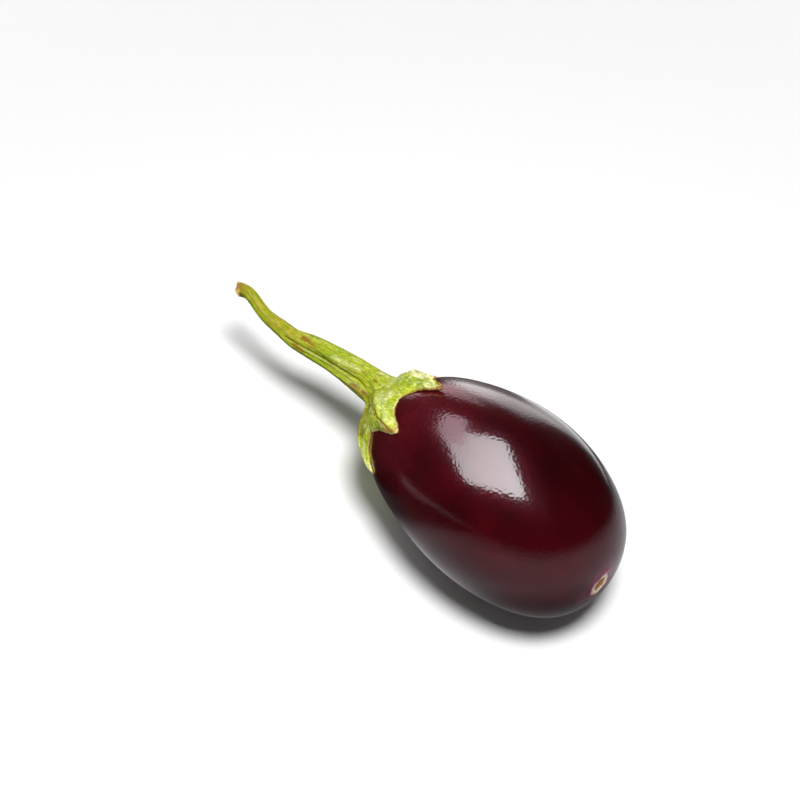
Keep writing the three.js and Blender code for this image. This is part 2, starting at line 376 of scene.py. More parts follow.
# Headings run round the fruit from its top, in degrees, and lengths are in millimetres. Reach is the
# way from the stem end to the edge, lift how far the edge stands off the skin, arch how far the calyx
# does further in, barb the point at the tip, keel the fold of a lobe, rib how it runs on up the stem,
# shoulder how near the keel the edge turns in to the tip, and corner how far the calyx hugs the corner
# to the stem. A blunt lobe has a thick dried tip, and a dry one is cream.
lobes = [
    {"heading": -155, "reach": 24, "lift": 0.3, "arch": 0.2, "archAt": 12, "barb": 0.5, "keel": 1.4,
     "rib": 0.7, "shoulder": 0.7},
    {"heading": -90, "reach": 21.2, "lift": 0.15, "arch": 0.6, "archAt": 7.5, "barb": 2.2, "keel": 1.2,
     "rib": 1, "shoulder": 0.84},
    {"heading": -42, "reach": 26.4, "lift": 0.3, "arch": 0.1, "archAt": 10, "barb": 0, "keel": 1.7,
     "rib": 1, "shoulder": 0.72},
    {"heading": 5, "reach": 26.8, "lift": 0.7, "arch": 0.3, "archAt": 10, "barb": 0.5, "keel": 1.4,
     "rib": 1, "shoulder": 0.78, "corner": 0.25, "blunt": 1.4},
    {"heading": 20, "reach": 19.8, "lift": 0.15, "arch": 1.7, "archAt": 13, "barb": 0.4, "keel": 0.1,
     "rib": 0, "shoulder": 0.66, "corner": 0.25, "blunt": 0.6, "dry": 1},
    {"heading": 88, "reach": 22.5, "lift": 0.2, "arch": 0, "archAt": 12, "barb": 0.8, "keel": 1.3,
     "rib": 0.7, "shoulder": 0.72},
    {"heading": 142, "reach": 24.5, "lift": 0.4, "arch": 0.1, "archAt": 12, "barb": 0.6, "keel": 1.5,
     "rib": 0.9, "shoulder": 0.68},
]
# each bay lies between the lobe of the same number and the next one
bays = [
    {"heading": -122, "reach": 15, "lift": 0, "arch": 0, "archAt": 12},
    {"heading": -66.5, "reach": 14.3, "lift": 0, "arch": 0.1, "archAt": 10},
    {"heading": -18, "reach": 16.9, "lift": 0, "arch": 0, "archAt": 12},
    {"heading": 12.5, "reach": 19.2, "lift": 0.2, "arch": 0.1, "archAt": 14},
    {"heading": 47, "reach": 14.3, "lift": 0.3, "arch": 1.6, "archAt": 9.5},
    {"heading": 116, "reach": 14.8, "lift": 0, "arch": 0, "archAt": 12},
    {"heading": 172, "reach": 14.5, "lift": 0, "arch": 0, "archAt": 12},
]
calyx = {
    "edgeSlope": 0.62,
    "shoulderHalf": 0.22,
    "barbHalf": 0.1,
    "bayCorner": 0.65,
    "edgeWaves": ((0.5 * mm, 1.3 * mm, 4), (0.25 * mm, 0.5 * mm, 9)),  # height, size and seed
    "wrinkles": (0.16 * mm, 1.7 * mm, 6),  # of the collar
    "ripples": (0.14 * mm, 2.6 * mm, 7),  # of the lobes
    "grain": (0.07 * mm, 0.9 * mm, 8),
    "gap": 0.03 * mm,
    "edgeSink": 0.15 * mm,
    "collarArc": 8.5 * mm,
    "collarThickness": 2.3 * mm,
    "lobeThickness": 1.05 * mm,
    "thickTo": 18 * mm,
    "edgeThickness": 0.14 * mm,
    "edgeRound": 0.15 * mm,
    "liftFrom": 10 * mm,
    "archSpread": 4 * mm,
    "archEndsFrom": 6 * mm,
    "archEndsTo": 1 * mm,
    "stemHandle": 3.4 * mm,
    "skinHandle": 3.2 * mm,
    "columnsPerSide": 24,  # from a keel to the next bay
    "columnCrowding": 1.15,  # they stand closer near the keel
    "stemRings": 130,
    "collarRings": 36,
    "lobeRings": 46,
    "undersideRings": 12,
    "tipGreen": srgb(168, 160, 32),
    "stemGreen": srgb(160, 170, 38),
    "lobeGreen": srgb(184, 197, 48),
    "fresh": srgb(124, 150, 10),
    "pale": srgb(230, 230, 172),
    "olive": srgb(122, 120, 4),
    "brown": srgb(134, 92, 26),
    "tan": srgb(204, 168, 92),
    "cream": srgb(232, 226, 176),
    # painted shade for the underside, which lies against the skin
    "undersideShade": srgb(84, 84, 22),
    "corkPale": srgb(255, 212, 122),
    "corkDark": srgb(150, 98, 36),
}
# the stem's line from its cut end to the calyx, in millimetres from the fruit's middle
stemPoints = [
    {"at": (-93.9, -3.4, 3.1), "radius": 1.8},
    {"at": (-89.8, -2.6, 3.7), "radius": 1.7},
    {"at": (-83.2, -3.0, 1.4), "radius": 1.74},
    {"at": (-76.5, -2.7, 0.8), "radius": 2.2},
    {"at": (-71.8, -2.3, 0.4), "radius": 2.6},
    {"at": (-66.8, -1.0, 0.5), "radius": 3.25},
    {"at": (-60.6, 0.2, 0.7), "radius": 3.55},
    {"at": (-53.1, 1.1, 0.8), "radius": 4.1},
    {"at": (-45.8, 1.6, 0.9), "radius": 4.7},
]
# folds, ridges, scabs and dry patches, by their colour. Each has a line of (along, heading) points on
# the outer surface, its width and how deep it lies (or stands out, if negative), both in millimetres,
# and how strong its colour is. along is 0 to 1 on the stem, 1 to 2 on the collar and 2 to 3 out to
# the lobe's edge.
marks = {
    "cream": [
        (((1.2, 8), (1.55, 8), (1.95, 8)), 1.2, 0, 0.9),
    ],
    # partly the calyx's own olive in its folds and grooves, partly painted shade on the hub and on the lobes
    # at -90 and -42 degrees, which face away from the light
    "olive": [
        (((0.45, -64), (0.67, -64), (0.8, -61), (0.95, -60), (1.0, -65)), 0.45, 0.4, 0.95),
        (((1.0, -65), (1.3, -67), (1.6, -64)), 0.5, 0.05, 0.4),
        (((0.6, -48), (0.75, -46), (0.9, -48)), 1.1, 0, 0.3),
        (((1.56, -42), (1.58, -31), (1.6, -20)), 0.5, 0.25, 1.1),
        (((1.55, -8), (1.75, 1), (2.1, 0)), 0.5, 0.1, 0.35),
        (((1.45, -62), (2.0, -50), (2.28, -46), (2.43, -45)), 1.2, 0.1, 0.9),
        (((2.28, -54), (2.52, -56), (2.8, -64)), 0.5, 0.25, 0.7),
        (((1.7, -88), (2.2, -86), (2.4, -78)), 2.0, 0, 1.3),
        (((1.25, -78), (1.7, -72), (2.1, -62)), 1.6, 0, 0.8),
        (((0.15, 20), (0.6, 25)), 1.4, 0, 0.5),
    ],
    "fresh": [
        (((2.3, 0), (2.55, 2), (2.75, 2)), 0.9, 0, 0.5),
        (((2.55, 19), (2.85, 17)), 1.1, 0, 0.6),
        (((0.1, -95), (0.5, -100), (0.9, -100)), 1.6, 0, 0.8),
    ],
    # partly pale patches of the calyx's own, partly painted highlight along its raised folds
    "pale": [
        (((0.55, -77), (0.75, -69), (0.9, -70), (1.0, -75), (1.3, -73)), 0.5, -0.2, 0.4),
        (((0.79, -31), (0.93, -29)), 1.3, -0.1, 0.55),
        (((1.47, -43), (1.49, -31), (1.52, -20)), 0.4, -0.12, 0.5),
        (((1.47, -19), (1.7, -14), (2.1, -9)), 0.6, -0.1, 0.5),
        (((2.15, -35), (2.45, -36), (2.7, -38)), 1.0, -0.05, 0.4),
        (((2.56, -5), (2.72, -12)), 0.45, -0.05, 0.5),
        (((1.9, -28), (2.4, -33), (2.75, -38)), 2.4, 0, 0.45),
        (((1.7, -6), (2.3, 0)), 2.4, 0, 0.4),
    ],
    "tan": [
        (((0.12, -35), (0.35, -40), (0.55, -35)), 1.6, 0, 0.35),
        (((2.96, -43), (3.0, -40)), 1.3, -0.1, 0.9),
        (((2.94, -47), (2.97, -40)), 1.4, 0, 1.1),
    ],
    # scabs and dry tips of the calyx's own, and painted shadow lines under folds and in creases
    "brown": [
        (((0.575, -22), (0.61, -24)), 0.95, -0.05, 1.3),
        (((0.62, -27), (0.66, -30)), 0.8, -0.05, 1.1),
        (((0.67, -35), (0.7, -29)), 0.7, 0, 0.7),
        (((0.53, -77), (0.61, -82)), 0.9, 0.05, 0.9),
        (((0.93, -85), (1.14, -83)), 1.0, 0.1, 0.95),
        (((0.8, -31), (0.81, -28)), 0.45, 0, 0.45),
        (((1.16, -30), (1.26, -28)), 0.5, 0.1, 1.3),
        (((0.9, -52), (0.92, -46), (0.95, -30), (0.96, -9)), 0.55, 0.12, 0.45),
        (((2.3, -55), (2.41, -48), (2.5, -42)), 0.4, 0.2, 0.4),
        (((2.4, -43), (2.67, -43.6), (2.92, -44)), 0.5, 0.2, 1.1),
        (((2.94, 4), (3.0, 5)), 0.9, 0.1, 0.9),
        (((2.2, 8), (2.4, 9), (2.7, 8.5), (2.9, 7)), 0.45, 0.1, 1),
        (((2.9, 25), (2.97, 20)), 0.8, 0, 0.6),
        (((2.95, -90), (3.0, -90)), 0.5, 0, 0.9),
        (((2.85, -47), (2.98, -44)), 1.2, 0, 0.7),
        (((2.93, -76), (2.93, -66), (2.95, -55), (2.97, -48)), 0.8, 0, 0.55),
        (((2.98, -15), (2.98, -7), (2.99, 0)), 0.5, 0, 0.9),
        (((2.98, -26), (2.98, -33), (2.98, -40)), 0.4, 0, 0.7),
        (((1.3, -66), (1.6, -61), (2.0, -53), (2.28, -48)), 0.4, 0.1, 0.5),
    ],
}
stem = {
    "ridge": 0.17,
    "groove": 0.3,  # how deep the stem is between its ridges, as a share of them
    "ridgeAtCut": 0.3,
    "twist": 18,
    "hubTwist": 15,
    "cutSlant": 2.1 * mm,
    "cutHeading": 117,
    "cutRagged": 0.7 * mm,
    "slantShare": 0.14,
    "pithDepth": 0.5 * mm,
    "furrows": (0.2 * mm, 1.1 * mm, 5),
}


def calyxColumns():
    # one entry per column of the surface: away is 0 on a lobe's keel and 1 in a bay
    count = calyx["columnsPerSide"]
    shares = (np.arange(count) / count) ** calyx["columnCrowding"]
    keys = ("heading", "reach", "lift", "arch", "archAt", "keel", "rib", "corner", "blunt", "dry")
    columns = {key: [] for key in keys}
    for index, lobe in enumerate(lobes):
        before, after = bays[index - 1], bays[index]
        beforeHeading = before["heading"] - (360 if index == 0 else 0)
        sides = ((before, beforeHeading, np.concatenate(([1.0], shares[:0:-1]))),
                 (after, after["heading"], shares))
        for bay, bayHeading, awayShares in sides:
            for away in awayShares:
                climb = 1 - away
                shoulder = smoothStep(climb, lobe["shoulder"] - calyx["shoulderHalf"],
                                      lobe["shoulder"] + calyx["shoulderHalf"])
                rise = mix(shoulder, climb, calyx["edgeSlope"])
                barb = lobe["barb"] * max(0, 1 - away / calyx["barbHalf"])
                columns["heading"].append(math.radians(mix(lobe["heading"], bayHeading, away)))
                columns["reach"].append((mix(bay["reach"], lobe["reach"], rise) + barb) * mm)
                columns["lift"].append(mix(bay["lift"], lobe["lift"], climb ** 2) * mm)
                columns["arch"].append(mix(bay["arch"], lobe["arch"], climb) * mm)
                columns["archAt"].append(mix(bay["archAt"], lobe["archAt"], climb) * mm)
                columns["keel"].append(lobe["keel"] * climb ** 2 * mm)
                columns["rib"].append(lobe["rib"] * climb ** 2 - stem["groove"])
                corner = mix(calyx["bayCorner"], lobe.get("corner", 1), smoothStep(climb, 0, 0.6))
                columns["corner"].append(corner)
                columns["blunt"].append(lobe.get("blunt", 0) * climb ** 5 * mm)
                columns["dry"].append(lobe.get("dry", 0))
    return {key: np.array(values) for key, values in columns.items()}


columns = calyxColumns()
edgeLine = skinPoints(phiAtArc(columns["reach"]), columns["heading"])
columns["reach"] += sum(height * lumps(edgeLine, size, seed) for height, size, seed in calyx["edgeWaves"])


def standOff(arc):
    out = smoothStep(arc, calyx["liftFrom"], columns["reach"])
    offArch = (arc - columns["archAt"]) / calyx["archSpread"]
    ends = smoothStep(arc, columns["reach"] - calyx["archEndsFrom"], columns["reach"] - calyx["archEndsTo"])
    lift = np.maximum(columns["lift"] - calyx["edgeSink"], 0) * out ** 2
    return calyx["gap"] + lift + columns["arch"] * np.exp(-offArch ** 2) * (1 - ends)


def thicknessAt(arc):
    share = arc / columns["reach"]
    outwards = smoothStep(arc, calyx["collarArc"], calyx["thickTo"])
    body = mix(calyx["collarThickness"], calyx["lobeThickness"], outwards)
    thinned = mix(body, calyx["edgeThickness"], share ** 6)
    keel = columns["keel"] * (1 - 0.97 * share ** 3)
    return thinned + keel + columns["blunt"] * smoothStep(share, 0.7, 0.93)


def offSkin(arc, height):
    # the ribs turn a little round the stem before they run out into the lobes
    turned = 1 - smoothStep(arc / columns["reach"], 0.3, 0.7)
    heading = columns["heading"] + math.radians(stem["hubTwist"]) * turned
    phi = phiAtArc(arc)
    return wavySkin(phi, heading) + skinNormals(phi, heading) * height[:, None]


def outerPoints(arc):
    return offSkin(arc, standOff(arc) + thicknessAt(arc))


def innerPoints(arc):
    return offSkin(arc, standOff(arc))


stemOrigin = axisStart + np.array((fruit["length"] / 2, 0, 0))


def stemCentre(share):
    return np.array([readThrough([point["at"][axis] for point in stemPoints], np.float64(share))
                     for axis in range(3)]) * mm + stemOrigin


def stemDirection(share):
    step = 1e-3
    return unit(stemCentre(min(share + step, 1)) - stemCentre(max(share - step, 0)))


def stemRing(share, part=1.0):
    along = stemDirection(share)
    upward = unit(np.array((0, 0, 1)) - along * along[2])
    sideways = np.cross(upward, along)
    ridge = stem["ridge"] * mix(stem["ridgeAtCut"], 1, share) * columns["rib"]
    radius = readThrough([point["radius"] for point in stemPoints], np.float64(share)) * mm
    radius = radius * (1 + ridge) * part
    twist = stem["twist"] * (1 - share) + stem["hubTwist"] * smoothStep(share, 0.74, 1.0)
    heading = columns["heading"] + math.radians(twist)
    nearCut = max(0, 1 - share / stem["slantShare"]) * part
    slant = stem["cutSlant"] * nearCut * np.cos(heading - math.radians(stem["cutHeading"]))
    ring = stemCentre(share) + np.outer(radius * np.sin(heading), sideways)
    ring += np.outer(radius * np.cos(heading), upward)
    slant += stem["cutRagged"] * nearCut * lumps(ring, 1.1 * mm, 10)
    return ring - np.outer(slant, along)


def collarRing(share):
    # leaves along the stem and lands along the skin
    start, end = stemRing(1.0), outerPoints(calyx["collarArc"])
    landing = unit(outerPoints(calyx["collarArc"] + 0.5 * mm) - end)
    corner = columns["corner"][:, None]
    first = start + stemDirection(1.0) * calyx["stemHandle"] * corner
    second = end - landing * calyx["skinHandle"] * mix(0.5, 1, corner)
    rest = 1 - share
    ends = rest ** 3 * start + share ** 3 * end
    return ends + 3 * rest ** 2 * share * first + 3 * rest * share ** 2 * second


def outwardOf(rings):
    # normals of a stack of rings, pointing out
    stack = np.array(rings)
    along = np.gradient(stack, axis=0)
    around = np.roll(stack, -1, axis=1) - np.roll(stack, 1, axis=1)
    return unit(np.cross(along, around))


def surfacePoint(outer, rowAlongs, along, heading):
    # the point of the outer surface at a place of its own grid
    row = np.interp(along, rowAlongs, np.arange(len(rowAlongs)))
    column = np.interp(math.radians(heading), columns["heading"], np.arange(len(columns["heading"])))
    top, left = min(int(row), len(outer) - 2), min(int(column), outer.shape[1] - 2)
    above = mix(outer[top, left], outer[top, left + 1], column - left)
    below = mix(outer[top + 1, left], outer[top + 1, left + 1], column - left)
    return mix(above, below, row - top)


def nearLine(points, line):
    # how far each point is from a line of points
    nearest = np.full(points.shape[:-1], np.inf)
    for start, end in zip(line[:-1], line[1:]):
        span = end - start
        share = np.clip((points - start) @ span / max(span @ span, 1e-12), 0, 1)
        nearest = np.minimum(nearest, np.linalg.norm(points - start - share[..., None] * span, axis=-1))
    return nearest


def surfaceLine(outer, rowAlongs, corners):
    alongs, headings = np.array(corners).T
    steps = np.arange(len(corners))
    places = np.linspace(0, len(corners) - 1, 6 * len(corners))
    return [surfacePoint(outer, rowAlongs, along, heading)
            for along, heading in zip(np.interp(places, steps, alongs), np.interp(places, steps, headings))]


def markLayers(outer, rowAlongs):
    tints = {}
    relief = np.zeros(outer.shape[:2])
    for tint, rows in marks.items():
        tints[tint] = np.zeros(outer.shape[:2])
        for corners, width, sink, strength in rows:
            away = nearLine(outer, surfaceLine(outer, rowAlongs, corners)) / (width * mm)
            relief -= sink * mm * np.exp(-(away * 1.4) ** 2)
            tints[tint] = np.maximum(tints[tint], strength * np.exp(-(away * 1.25) ** 2))
    return tints, relief


def makeCalyxAndStem():
    stemShares = np.linspace(0, 1, calyx["stemRings"])
    collarShares = np.linspace(0, 1, calyx["collarRings"] + 1)[1:]
    lobeShares = np.linspace(0, 1, calyx["lobeRings"] + 1)[1:]
    outer = [stemRing(share) for share in stemShares]
    outer += [collarRing(share) for share in collarShares]
    edgeReach = columns["reach"] - 0.5 * calyx["edgeRound"]
    outer += [outerPoints(mix(calyx["collarArc"], edgeReach, share)) for share in lobeShares]
    outer = np.array(outer)
    flat = np.ones(outer.shape[1])
    along = np.concatenate((stemShares, 1 + collarShares, 2 + lobeShares))[:, None] * flat
    nearArcs = [flat * calyx["collarArc"]] * (len(stemShares) + len(collarShares))
    lobeArcs = [mix(calyx["collarArc"], columns["reach"], share) for share in lobeShares]
    toEdge = columns["reach"] - np.array(nearArcs + lobeArcs)

    # furrows run down the stem, wrinkles gather in the collar and the lobes ripple
    heading = np.broadcast_to(columns["heading"], along.shape)
    around = (np.sin(heading) * 4 * mm, np.cos(heading) * 4 * mm)
    lengthwise = np.stack((outer[..., 0] * 0.12, *around), axis=-1)
    onStem = 1 - smoothStep(along, 0.9, 1.8)
    inCollar = np.exp(-((along - 1.65) / 0.35) ** 2)
    onLobe = smoothStep(along, 1.8, 2.3)
    relief = 0
    for share, points, (height, size, seed) in (
        (onStem, lengthwise, stem["furrows"]),
        (inCollar, outer * np.array((1.6, 1, 1)), calyx["wrinkles"]),
        (onLobe, outer, calyx["ripples"]),
        (1, outer, calyx["grain"]),
    ):
        relief = relief + height * share * lumps(points, size, seed)
    relief *= 0.3 + 0.7 * smoothStep(toEdge, 0, 2 * mm)
    tints, markRelief = markLayers(outer, along[:, 0])
    outwards = outwardOf(outer)
    outer = outer + outwards * (relief + markRelief)[..., None]
    dry = np.broadcast_to(columns["dry"], along.shape) * smoothStep(along, 2.0, 2.3)
    tints["cream"] = np.maximum(tints["cream"], dry)

    # fibres run along the columns
    stepLengths = np.linalg.norm(np.diff(outer, axis=0), axis=-1) / mm
    rates = mix(0.04, 0.015, smoothStep(along[1:], 1.2, 2.0))
    fibreWay = np.concatenate((np.zeros((1, outer.shape[1])), np.cumsum(stepLengths * rates, axis=0)))

    margin = offSkin(columns["reach"], standOff(columns["reach"]) + 0.45 * thicknessAt(columns["reach"]))
    under = [margin, innerPoints(columns["reach"] - calyx["edgeRound"])]
    undersideShares = np.linspace(0.97, 0.06, calyx["undersideRings"])
    under += [innerPoints(columns["reach"] * share) for share in undersideShares]
    cutCentre = stemCentre(0) + stemDirection(0) * stem["pithDepth"]
    middle = axisStart - np.array((calyx["gap"], 0, 0))
    cutFace = [mix(cutCentre, stemRing(0.0), part) for part in (0.3, 0.6, 0.8, 0.93)]
    rings = [cutCentre] + cutFace + list(outer) + under + [middle]

    def layer(atCut, onOuter, onUnderside):
        return ([atCut] + [flat * atCut] * len(cutFace) + list(onOuter) + [onOuter[-1]] * 2
                + [flat * onUnderside] * (len(under) - 2) + [onUnderside])

    layers = {
        "along": layer(-1.0, along, 4.0),
        "toEdge": layer(5 * mm, toEdge + 3 * mm * (along < 2), 0.0),
        "furrows": layer(0.0, relief / (0.15 * mm), 0.0),
        "fibreX": layer(0.0, np.cos(heading), 0.0),
        "fibreY": layer(0.0, np.sin(heading), 0.0),
        "fibreZ": layer(0.0, fibreWay, 1.0),
    }
    for tint, amount in tints.items():
        layers[tint] = layer(0.0, amount, 0.0)
    return closedSkin("calyxAndStem", rings, layers)


def makeCalyxMaterial():
    material, tree, shader = newMaterial("feltedGreen")
    place = addNode(tree, "ShaderNodeTexCoord").outputs["Object"]
    along = layerOf(tree, "along")
    toEdge = layerOf(tree, "toEdge")
    furrows = layerOf(tree, "furrows")
    parts = {axis: layerOf(tree, "fibre" + axis) for axis in "XYZ"}
    fibres = addNode(tree, "ShaderNodeCombineXYZ", parts).outputs["Vector"]
    onLobes = remap(tree, along, 1.3, 2.2)

    def fibreNoise(stemScale, lobeScale, detail=3):
        onStem = noiseOf(tree, fibres, stemScale, detail, 0.6)
        return mixColour(tree, onLobes, onStem, noiseOf(tree, fibres, lobeScale, detail, 0.6))

    def tintWith(colour, share, name):
        return mixColour(tree, share, colour, calyx[name])

    # the ground colour goes from the yellowish cut end to the bright lobes
    colour = tintWith(calyx["tipGreen"], remap(tree, along, 0.35, 0.75), "stemGreen")
    colour = tintWith(colour, onLobes, "lobeGreen")
    patches = remap(tree, noiseOf(tree, place, 210, 4, 0.6), 0.46, 0.64, 0, 0.6)
    colour = tintWith(colour, patches, "fresh")
    bleached = remap(tree, noiseOf(tree, place, 300, 3, 0.6), 0.48, 0.66, 0, 0.6)
    colour = tintWith(colour, times(tree, bleached, onLobes), "pale")
    bands = remap(tree, fibreNoise(3.2, 12), 0.5, 0.7, 0, 0.5)
    colour = tintWith(colour, bands, "fresh")

    # painted light: the ridges of the relief are painted paler as a highlight and its hollows olive as shade
    ridgeHighlight = remap(tree, furrows, 0.15, 1.0, 0, 0.3)
    colour = tintWith(colour, times(tree, ridgeHighlight, remap(tree, along, 0.3, 0.7, 0.2, 1)), "pale")
    hollowShade = remap(tree, furrows, -0.2, -1.0, 0, 0.45)
    colour = tintWith(colour, hollowShade, "olive")

    # folds, dry patches and scabs, each with a ragged outline, the olive ones partly painted shade and the
    # pale ones partly painted highlight
    ragged = remap(tree, noiseOf(tree, place, 1150, 5, 0.75), 0.25, 0.75, 0.4, 1.5)
    for name in ("cream", "olive", "fresh", "pale", "tan"):
        amount = times(tree, layerOf(tree, name), ragged)
        colour = tintWith(colour, remap(tree, amount, 0.1, 1.1, 0, 0.95), name)

    # fine fibres and felt in light and dark
    strands = remap(tree, fibreNoise(13, 50, 2), 0.3, 0.7, 0.66, 1.3)
    colour = mixColour(tree, 1.0, colour, strands, "MULTIPLY")
    felt = remap(tree, noiseOf(tree, place, 650, 3, 0.65), 0.3, 0.7, 0.84, 1.16)
    felt = mixColour(tree, plus(tree, times(tree, onLobes, 0.5), 0.5), (1, 1, 1, 1), felt)
    colour = mixColour(tree, 1.0, colour, felt, "MULTIPLY")
    flecks = remap(tree, fibreNoise(30, 110, 2), 0.6, 0.74, 0, 0.4)
    colour = tintWith(colour, flecks, "pale")
    specks = remap(tree, noiseOf(tree, place, 900, 4, 0.7), 0.66, 0.76, 0, 0.45)
    colour = tintWith(colour, specks, "brown")

    # the margin pales and then browns
    unevenEdge = times(tree, noiseOf(tree, place, 800, 4, 0.6), 0.9 * mm)
    edge = plus(tree, combine(tree, "SUBTRACT", toEdge, unevenEdge), 0.45 * mm)
    paleEdge = remap(tree, noiseOf(tree, place, 260, 2), 0.35, 0.65, 0.1, 0.65)
    paleEdge = times(tree, paleEdge, remap(tree, edge, 0.3 * mm, 0.75 * mm, 1, 0))
    colour = tintWith(colour, paleEdge, "pale")
    colour = tintWith(colour, remap(tree, edge, 0.05 * mm, 0.3 * mm, 0.85, 0), "tan")
    colour = tintWith(colour, remap(tree, edge, -0.1 * mm, 0.12 * mm, 0.8, 0), "brown")
    # brown scabs and dry tips, with painted shadow lines under folds and in the creases
    scabsAndShadowLines = times(tree, layerOf(tree, "brown"), ragged)
    scabAndShadowColour = mixColour(tree, 1.0, calyx["brown"], felt, "MULTIPLY")
    colour = mixColour(tree, remap(tree, scabsAndShadowLines, 0.1, 1.1, 0, 0.95), colour, scabAndShadowColour)

    # cork at the cut, and painted shade on the underside, which lies against the skin
    cork = plus(tree, along, times(tree, noiseOf(tree, place, 900, 4, 0.7), 0.05))
    corkTone = mixColour(tree, remap(tree, noiseOf(tree, place, 900, 3, 0.7), 0.36, 0.52), calyx["corkDark"],
                         calyx["corkPale"])
    colour = tintWith(colour, remap(tree, cork, 0.04, 0.16, 0.6, 0), "brown")
    colour = mixColour(tree, remap(tree, cork, 0.03, 0.045, 1, 0), colour, corkTone)
    colour = tintWith(colour, remap(tree, along, 3.2, 3.8), "undersideShade")
    tree.links.new(colour, shader.inputs["Base Color"])

    shader.inputs["Roughness"].default_value = 0.6
    shader.inputs["Specular IOR Level"].default_value = 0.08
    shader.inputs["Sheen Weight"].default_value = 0.01
    shader.inputs["Sheen Roughness"].default_value = 0.4
    down = noiseOf(tree, place, 1500, 1, 0.6)
    height = plus(tree, down, times(tree, fibreNoise(14, 56, 2), 1.1))
    bump = addNode(tree, "ShaderNodeBump", {"Strength": 1.0, "Distance": 0.18 * mm, "Height": height})
    tree.links.new(bump.outputs["Normal"], shader.inputs["Normal"])
    return material


calyxAndStem = makeCalyxAndStem()
calyxAndStem.data.materials.append(makeCalyxMaterial())
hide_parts("calyx_and_stem")
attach(calyxAndStem, "root")
print("calyx and stem made:", len(calyxAndStem.data.polygons), "faces")


# the floor, the light and the camera

studio = {
    "floorRadius": 3.0,
    "floorColour": (0.78, 0.78, 0.78, 1),
    "floorGlow": (0.15, 0.8, 0, 0.95),  # it glows by itself further out: from where to where, and how much
    "bounceColour": (0.42, 0.42, 0.42, 1),  # what the underside of the eggplant sees of it
    "softboxHeight": 0.64,
    "softboxCorner": 0.25,  # the smaller, the squarer
    "softboxes": [  # where the middle is, half its sides, its turn, its strength and how that climbs with x
        {"at": (-0.3, -0.137), "half": (0.315, 0.3), "turn": 44, "strength": 9.1, "climb": 11,
         "colour": (0.95, 1.04, 1.03, 1)},
        {"at": (-0.68, 0.04), "half": (0.14, 0.23), "turn": 20, "strength": 4.5, "climb": 0,
         "colour": (1, 0.8, 0.88, 1)},
    ],
    "lamps": [  # where it stands, how wide it is, how strong, and whether it throws a shadow
        {"at": (0.27, -0.09, 1.0), "size": 0.32, "power": 14, "shadow": True},
        {"at": (0.0, 0.0, 1.6), "size": 3.0, "power": 2.6, "shadow": True},
        {"at": (-0.6, -0.65, 0.12), "size": 0.3, "power": 1.6, "shadow": False},
    ],
    "flags": [  # dark balls beside the fruit
        {"at": (-0.026, -0.028, 0.014), "radius": 0.024},
        {"at": (0.042, 0.091, 0.053), "radius": 0.033},
    ],
}
# The table that the skin's shine shows: where its glow changes (in metres) and from what to what.
# The camera stands on the side of small y and looks towards large y and small x.
sheenTable = {
    "tilt": 31,
    "towards": 58,
    "gap": 0.2 * mm,
    "colour": (0.98, 0.97, 1.0, 1),
    "behindSlope": -0.35,
    "behind": (0.02, 0.16, 0.58, 1.0),
    "halfCore": (0.018, 0, 0),  # distances are taken from this much of the fruit's axis
    # its glow is painted darker close to the fruit, a painted contact shadow in the shine
    "nearFruit": (0.024, 0.036, 0.3, 1),
    "fadesBeyond": 0.085,
    "leftHalf": (-0.016, 0.012, 0.08, 0.74),
    "rightEnd": (0.04, 0.07, 1, 1.3),
    "farLeft": (-0.14, -0.21, 0, 0.4),
    "farLeftBehind": (0.15, 0.25, 1, 0.2),
    "farBehind": (0.15, 0.25, 0, 1.1),
    "farBehindFrom": (-0.005, 0.02),  # measured across its left border
    "farBehindBorder": 124,
    "farBehindTo": (-0.075, -0.03, 1, 0),
}
# The sky that the skin's shine shows: where a wall starts or ends and from what to what. Headings are
# in degrees from x towards y, and heights go from -1 straight down to 1 straight up.
sky = {
    "dark": 0.015,
    "wallRight": (110, 118),
    "wallLean": -20,  # how its right side leans over
    "wallLeft": (134, 141, 1, 0),
    "wallTop": (0.832, 1.112, 1, 0),
    "wallTopSlope": 0.006,
    "wallFoot": (-0.34, -0.18, 0.1, 1),
    "wallFootRight": (119, 127, 0.55, 0),
    "wallStrength": (124, 134, 1.7, 2.7),
    "pinkRight": (134, 141),
    "pinkLeft": (160, 168, 1, 0),
    "pinkFoot": (-0.12, -0.02),
    "pinkTop": (1.53, 1.59, 1, 0),
    "pinkTopSlope": 0.0087,
    "pinkStrength": 2.0,
    "pinkColour": (1, 0.72, 0.76, 1),
}


def onlyIn(stagePiece, camera=False, diffuse=False, glossy=False):
    # what may see a piece of the stage, none of which throws a shadow
    stagePiece.visible_camera = camera
    stagePiece.visible_diffuse = diffuse
    stagePiece.visible_glossy = glossy
    stagePiece.visible_shadow = False


def glowMaterial(name, strength, climb=0.0, colour=(1, 1, 1, 1)):
    material, tree, shader = newMaterial(name)
    tree.nodes.remove(shader)
    place = addNode(tree, "ShaderNodeTexCoord").outputs["Object"]
    across = addNode(tree, "ShaderNodeSeparateXYZ", {"Vector": place}).outputs["X"]
    level = combine(tree, "MAXIMUM", plus(tree, times(tree, across, climb), strength), 0.0)
    glow = addNode(tree, "ShaderNodeEmission", {"Color": colour, "Strength": level})
    tree.links.new(glow.outputs["Emission"], tree.nodes["Material Output"].inputs["Surface"])
    return material


def disc(name, radius, material):
    bpy.ops.mesh.primitive_circle_add(vertices=128, radius=radius, fill_type="NGON")
    piece = bpy.context.object
    piece.name = name
    piece.data.materials.append(material)
    return piece


